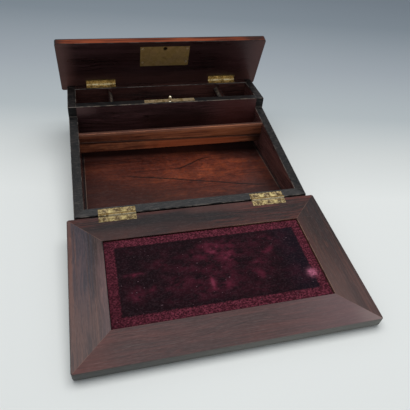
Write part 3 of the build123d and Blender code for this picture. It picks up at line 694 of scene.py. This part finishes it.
class WSLOPE_OT_stage(bpy.types.Operator):
    """Set the pale table, the soft daylight and the camera"""

    bl_idname = "wslope.stage"
    bl_label = "Table, Light and Camera"

    # Colours of the background by how far back they lie, and of the sky by how high they are.
    BACKGROUND = (
        (0.0, "#E9EBE8"), (0.18, "#E7E9E6"), (0.27, "#D3D6D4"), (0.37, "#B3BABC"), (0.54, "#9EA5AB"),
        (0.8, "#7F8991"), (1.0, "#77818A"),
    )
    SKY = ((0.0, "#989CA0"), (0.9, "#B0B4B8"))
    LAMP_SIZE = (2.4, 1.4)
    LAMP_WATTS = 30
    LAMP_PLACE = (0.1, 0.25, 2.0)
    # Yaw, pitch and roll in degrees, place in metres, and width of the sensor and lens in millimetres.
    CAMERA_TURN = (17.085, -39.912, 5.159)
    CAMERA_PLACE = (-0.11553, -0.53975, 0.38876)
    CAMERA_SENSOR = 36.0
    CAMERA_LENS = 38.71

    def execute(self, context):
        self.table(context)
        self.light(context)
        self.camera(context)
        return {"FINISHED"}

    def table(self, context):
        """A pale painted table that runs back into a grey-blue background, with a painted shadow by the case's
        left.
        """
        mesh = bpy.data.meshes.new("table")
        work = bmesh.new()
        bmesh.ops.create_grid(work, x_segments=1, y_segments=1, size=4.0)
        work.to_mesh(mesh)
        work.free()
        table = bpy.data.objects.new("table", mesh)
        context.collection.objects.link(table)
        material, tree = new_material("painted_table")
        x, y = add(tree, "SeparateXYZ", [add(tree, "TexCoord").node.outputs["Object"]]).node.outputs[:2]
        back = calc("MULTIPLY_ADD", x, 0.21, y)
        colour = colour_ramp(add(tree, "MapRange", [back, -0.3, 1.0]), self.BACKGROUND)
        # painted shadow on the table beside the case's left side
        left = overlap(within(x, high=-0.12, soft=0.09), within(y, high=0.06, soft=0.1), 0.12)
        colour = blend(left, colour, linear("#D2D5D4"))
        right = overlap(within(x, low=0.45, soft=0.4), within(y, low=0.5, soft=0.4), 0.2)
        colour = blend(right, colour, linear("#6C757E"))
        surface = add(tree, "BsdfPrincipled",
                      {"Base Color": colour, "Roughness": 0.7, "Specular IOR Level": 0.3})
        add(tree, "OutputMaterial", [surface])
        table.data.materials.append(material)

    def light(self, context):
        """A wide soft lamp high above and a little behind, and a sky that brightens overhead."""
        lamp = bpy.data.lights.new("skylight", "AREA")
        lamp.shape = "RECTANGLE"
        lamp.size, lamp.size_y = self.LAMP_SIZE
        lamp.energy = self.LAMP_WATTS
        skylight = bpy.data.objects.new("skylight", lamp)
        skylight.location = self.LAMP_PLACE
        context.collection.objects.link(skylight)
        world = bpy.data.worlds.new("daylight")
        context.scene.world = world
        world.use_nodes = True
        tree = world.node_tree
        tree.nodes.clear()
        direction = add(tree, "TexCoord").node.outputs["Generated"]
        height = add(tree, "SeparateXYZ", [direction]).node.outputs[2]
        sky = colour_ramp(height, self.SKY)
        add(tree, "OutputWorld", [add(tree, "Background", [sky, 1.0])])

    def camera(self, context):
        """A view from the front and a little to the left, tilted slightly."""
        yaw, pitch, roll = map(radians, self.CAMERA_TURN)
        forward = Vector((sin(yaw) * cos(pitch), cos(yaw) * cos(pitch), sin(pitch)))
        right = Vector((cos(yaw), -sin(yaw), 0))
        up = right.cross(forward)
        tilted_right = cos(roll) * right + sin(roll) * up
        tilted_up = cos(roll) * up - sin(roll) * right
        data = bpy.data.cameras.new("camera")
        data.sensor_width = self.CAMERA_SENSOR
        data.lens = self.CAMERA_LENS
        camera = bpy.data.objects.new("camera", data)
        turn = Matrix((tilted_right, tilted_up, -forward)).transposed()
        camera.matrix_world = Matrix.Translation(self.CAMERA_PLACE) @ turn.to_4x4()
        context.collection.objects.link(camera)
        context.scene.camera = camera
        context.scene.view_settings.view_transform = "Standard"


class WSLOPE_OT_case(bpy.types.Operator):
    """Ebonise and polish the case, its dividers, its letter board and its floor"""

    bl_idname = "wslope.case"
    bl_label = "Case"

    def execute(self, context):
        lining = ("#2C1A18", "#482C28", "#5E3A33")
        # painted light: a lighter copy of the lining for the right wall's inside, which the light falls on
        lit_lining = ("#321F1D", "#523431", "#6A443E")
        walls = (
            ("front_wall", "X", 0.3, lining),
            ("back_wall", "X", 0.22, lining),
            ("left_side", "Y", 0.2, lining),
            ("right_side", "Y", 0.14, lit_lining),
        )
        for index, (name, along, level, shades) in enumerate(walls):
            wall = rosewood(f"ebonised_rosewood_{name}", "case", along, 2.3 + index, shades, level=level,
                            dress=dress_wall)
            put(wall, name)
        # the floor gets a painted shadow behind and below the letter board
        floor = rosewood("polished_rosewood_floor", "case", "X", 7.1, ("#3A1A15", "#6B3325", "#8F4628"),
                         level=0.25, ring=3.0, stray=50.0, figure=40.0, spread=0.16, ink=0.4,
                         dress=dress_floor, painted_shade=painted_shade_under_rack)
        put(floor, "base_board")
        rack = rosewood("polished_rosewood_letter_board", "case", "X", 9.4, ("#4E2A1F", "#9A5A3E", "#CA8058"),
                        level=0.25, figure=12.0, spread=0.12, dress=dress_letter_board)
        put(rack, "letter_board_upper", "letter_board_lower")
        divider = rosewood("polished_rosewood_divider", "case", "X", 4.7, ("#1D1313", "#382425", "#503436"),
                           caked=0.01, level=0.3, dress=dress_divider)
        put(divider, "divider")
        partition = rosewood("polished_rosewood_partition", "case", "Y", 5.2, lining, dress=dress_top)
        put(partition, "partition_left", "partition_right")
        tray = rosewood("polished_rosewood_tray", "case", "X", 6.6, ("#221513", "#3C2522", "#52342E"))
        put(tray, "pen_tray")
        return {"FINISHED"}


class WSLOPE_OT_slope_lid(bpy.types.Operator):
    """Polish the slope lid's mitred frame and ebonise its back and edges"""

    bl_idname = "wslope.slope_lid"
    bl_label = "Slope Lid"

    def execute(self, context):
        panel = rosewood("ebonised_rosewood_lid_panel", "slope_lid", "X", 1.7, ("#101113",) * 3,
                         dress=dress_lid_panel)
        put(panel, "lid_panel")
        boards = (
            ("lid_hinge_rail", "X", 11.3, ("#1A0C0B", "#381B18", "#582820"), tint_hinge_rail),
            ("lid_free_rail", "X", 13.1, ("#3C2524", "#492B29", "#573330"), tint_front_rail),
            ("lid_left_stile", "Y", 15.8, ("#2A1C1A", "#4C3633", "#6E4C42"), tint_left_stile),
            ("lid_right_stile", "Y", 17.6, ("#180D0B", "#331C18", "#4D291F"), tint_right_stile),
        )
        for name, along, seed, shades, tint in boards:
            wood = rosewood(f"waxed_rosewood_{name}", "slope_lid", along, seed, shades, gloss=0.42,
                            level=0.24, ring=1.5, spread=0.09, ink=0.5, dress=partial(dress_frame, tint=tint))
            put(wood, name)
        return {"FINISHED"}


class WSLOPE_OT_velvet(bpy.types.Operator):
    """Lay the velvet with its pressed border in the frame"""

    bl_idname = "wslope.velvet"
    bl_label = "Velvet"

    # Where the pile has been crushed: middle of each place from the lid's centre line and the hinge
    # axis, its two half lengths, in millimetres, its turn in degrees, and how far the pile lies over.
    CRUSHED = (
        (-3, -68, 16, 9, 0, 0.6), (-4, -77, 7, 4, 12, 0.5), (-19, -75, 8, 3, -20, 0.4),
        (-90, -92, 11, 2.4, 4, 0.9), (-73, -113, 4, 3, 30, 0.7), (-7, -114, 3.2, 10, 0, 0.8),
        (48, -115, 4, 7, 15, 0.7), (67, -81, 11, 3, 25, 0.6), (52, -96, 13, 2.4, -3, 0.5),
        (-62, -82, 11, 11, 0, 0.35), (-52, -114, 10, 6, 0, 0.3), (20, -84, 8, 18, 0, 0.35),
        (12, -118, 9, 9, 0, 0.35), (-90, -119, 8, 7, 0, 0.35), (0, -97, 42, 70, 0, 0.28),
        (64, -66, 16, 8, 10, 0.2),
    )
    # Where a tuft has been rubbed up pale: its middle, and how far it reaches, in millimetres.
    TUFT_X, TUFT_Y, TUFT_REACH = 107, -121, 5

    def execute(self, context):
        s = sizes()
        half_x = s.lid_half_width - s.frame_width - s.velvet_gap
        near = -s.hinge_reach - s.frame_width - s.velvet_gap
        far = -s.lid_far + s.frame_width + s.velvet_gap
        half_y = (near - far) / 2
        middle_y = (near + far) / 2
        work = bmesh.new()
        layers = {name: work.verts.layers.float.new(name) for name in PILE_LAYERS}
        bmesh.ops.create_grid(work, x_segments=round(2 * half_x / s.thread_step),
                              y_segments=round(2 * half_y / s.thread_step), size=1.0)
        bmesh.ops.scale(work, vec=(half_x, half_y, 1.0), verts=work.verts)
        for vert in work.verts:
            self.shape(s, vert, half_x, half_y, middle_y, layers)
        turn = Matrix.Rotation(s.lid_droop, 4, "X")
        hinge = Matrix.Translation(joints["slope_lid_hinge"]["pos_m"])
        middle = Matrix.Translation((0, middle_y, -s.face_drop - s.velvet_drop))
        bmesh.ops.transform(work, matrix=hinge @ turn @ middle, verts=work.verts)
        bmesh.ops.recalc_face_normals(work, faces=work.faces)
        for face in work.faces:
            face.smooth = True
        mesh = bpy.data.meshes.new("velvet_surface")
        work.to_mesh(mesh)
        work.free()
        velvet = bpy.data.objects.new("velvet_surface", mesh)
        context.collection.objects.link(velvet)
        velvet.data.materials.append(crushed_velvet("embossed_silk_velvet"))
        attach(velvet, "slope_lid")
        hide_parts("velvet_pad")
        return {"FINISHED"}

    def shape(self, s, vert, half_x, half_y, middle_y, layers):
        """Turns the velvet down at its edge, presses its border, and lays its pile over in patches."""
        x, y = vert.co.x, vert.co.y
        edge = min(half_x - abs(x), half_y - abs(y))
        ragged = noise.noise(Vector((x, y, 0)) * 260) + 0.7 * noise.noise(Vector((x, y, 1)) * 700)
        inner = edge - s.border_width + 0.75 * MM * ragged
        border = clamp(0.5 - inner / s.thread_step / 2)
        along = x if half_y - abs(y) < half_x - abs(x) else y
        motif = cos(2 * pi * along / s.border_pitch) * cos(2 * pi * edge / (0.85 * s.border_pitch))
        rubbed = noise.noise(Vector((x * 420, y * 420, 2.0)))
        high = clamp(0.42 + 0.5 * motif + 0.9 * rubbed)
        cloud = noise.noise(Vector((x * 26, y * 40, 3.7))) + 0.6 * noise.noise(Vector((x * 70, y * 110, 1.2)))
        lying = 0.06 + 0.14 * cloud
        warp = 4.0 * noise.noise(Vector((x * 90, y * 90, 8.0)))
        for mark_x, mark_y, reach_x, reach_y, turn, strength in self.CRUSHED:
            off = Vector((x / MM - mark_x + warp, (y + middle_y) / MM - mark_y + 0.5 * warp))
            off.rotate(Matrix.Rotation(-radians(turn), 2))
            lying += strength * exp(-((off.x / reach_x) ** 2) - (off.y / reach_y) ** 2) * (0.85 + 0.6 * cloud)
        margin = clamp(inner / (9 * MM))
        vert[layers["pressed"]] = border
        vert[layers["relief"]] = high
        vert[layers["crushed"]] = clamp(lying) * margin
        tuft = Vector((x / MM - self.TUFT_X, (y + middle_y) / MM - self.TUFT_Y)).length
        vert[layers["fluff"]] = min(1.2 * exp(-((tuft / self.TUFT_REACH) ** 2)) * (1 + 0.8 * rubbed), 1.0)
        depth = border * (s.border_depth * (1.0 - 0.6 * high)) + (1 - border) * 0.15 * MM * (1 + cloud)
        rounded = max(s.velvet_edge - edge, 0.0) / s.velvet_edge
        fall = s.velvet_edge * (1 - (1 - rounded**2) ** 0.5)
        if edge < s.thread_step / 4:
            fall = s.frame_thickness - s.velvet_drop - 0.05 * MM
        vert.co.z = -depth - fall


class WSLOPE_OT_rear_lid(bpy.types.Operator):
    """Polish the rear lid inside and ebonise it outside"""

    bl_idname = "wslope.rear_lid"
    bl_label = "Rear Lid"

    def execute(self, context):
        shades = ("#160B0B", "#281616", "#3A2425")
        board = rosewood("polished_rosewood_rear_lid", "rear_lid", "X", 3.9, shades, gloss=0.26, level=0.24,
                         caked=0.01, dress=dress_rear_lid)
        put(board, "rear_lid_board")
        return {"FINISHED"}


class WSLOPE_OT_brassware(bpy.types.Operator):
    """Age the hinges, the lock, the stud and the screws"""

    bl_idname = "wslope.brassware"
    bl_label = "Brassware"

    def execute(self, context):
        for body in ("case", "slope_lid", "rear_lid"):
            members = frame["record"]["behaviour"]["bodies"][body]
            fittings = [name for name in members if name.endswith(("_leaf", "_pin", "_screws"))]
            front = [name for name in fittings if name.startswith("front_")]
            rear = [name for name in fittings if name.startswith("rear_")]
            if front:
                axis = joints["slope_lid_hinge"]["pos_m"][1] / MM if body == "case" else 0.0
                put(worn_brass(f"worn_brass_front_hinges_{body}", body, "#A8966E", "#66543A", rough=0.5,
                               dress=partial(rub_and_highlight_front_hinges, axis=axis)), *front)
            if rear:
                polish = polish_and_highlight_barrel if body == "rear_lid" else None
                put(worn_brass(f"bright_brass_rear_hinges_{body}", body, "#F4DCA8", "#AA8E58", rough=0.34,
                               dirt_and_shadow=0.4, pitted=0.45, dress=polish), *rear)
        put(worn_brass("handled_brass_strike", "case", "#D2BC98", "#86704C", rough=0.46, dirt_and_shadow=0.4,
                       patch=7.0, pitted=0.3), "strike_plate", "strike_screws")
        for body, screws in (("case", "case_hinge_screws"), ("slope_lid", "slope_lid_screws")):
            put(worn_brass(f"dull_brass_{screws}", body, "#94846A", "#5A4A38", rough=0.5,
                           dress=dull_left_hinge), screws)
        put(worn_brass("polished_brass_stud", "case", "#E8DCC0", "#A89468", rough=0.3, dirt_and_shadow=0.3),
            "catch_stud")
        put(worn_brass("dull_brass_lock_plate", "rear_lid", "#CCB27C", "#B49860", rough=0.5, patch=14.0,
                       grime="#8A7044", pitted=0.15), "lock_plate")
        put(worn_brass("bright_brass_lock_screws", "rear_lid", "#FFF2D0", "#C8B48A", rough=0.4, dirt_and_shadow=0.25,
                       grime="#8A754A"), "lock_screws")
        put(worn_brass("iron_lock", "rear_lid", "#4A4744", "#2E2622", rough=0.45), "lock_case", "lock_bolt")
        return {"FINISHED"}


class WSLOPE_PT_panel(bpy.types.Panel):
    """Buttons for each part of the writing slope"""

    bl_idname = "WSLOPE_PT_panel"
    bl_label = "Writing Slope"
    bl_space_type = "VIEW_3D"
    bl_region_type = "UI"
    bl_category = "Writing Slope"

    def draw(self, context):
        for operator in OPERATORS:
            self.layout.operator(operator.bl_idname)


OPERATORS = (WSLOPE_OT_stage, WSLOPE_OT_case, WSLOPE_OT_slope_lid, WSLOPE_OT_velvet, WSLOPE_OT_rear_lid,
             WSLOPE_OT_brassware)
CLASSES = (WritingSlopeSizes, WritingSlopeColours, *OPERATORS, WSLOPE_PT_panel)


def register():
    for cls in CLASSES:
        bpy.utils.register_class(cls)
    bpy.types.Scene.writing_slope_sizes = PointerProperty(type=WritingSlopeSizes)
    bpy.types.Scene.writing_slope_colours = PointerProperty(type=WritingSlopeColours)


def unregister():
    del bpy.types.Scene.writing_slope_colours
    del bpy.types.Scene.writing_slope_sizes
    for cls in reversed(CLASSES):
        bpy.utils.unregister_class(cls)


def main():
    register()
    bpy.ops.wslope.stage()
    bpy.ops.wslope.case()
    bpy.ops.wslope.slope_lid()
    bpy.ops.wslope.velvet()
    bpy.ops.wslope.rear_lid()
    bpy.ops.wslope.brassware()


if __name__ == "__main__":
    main()
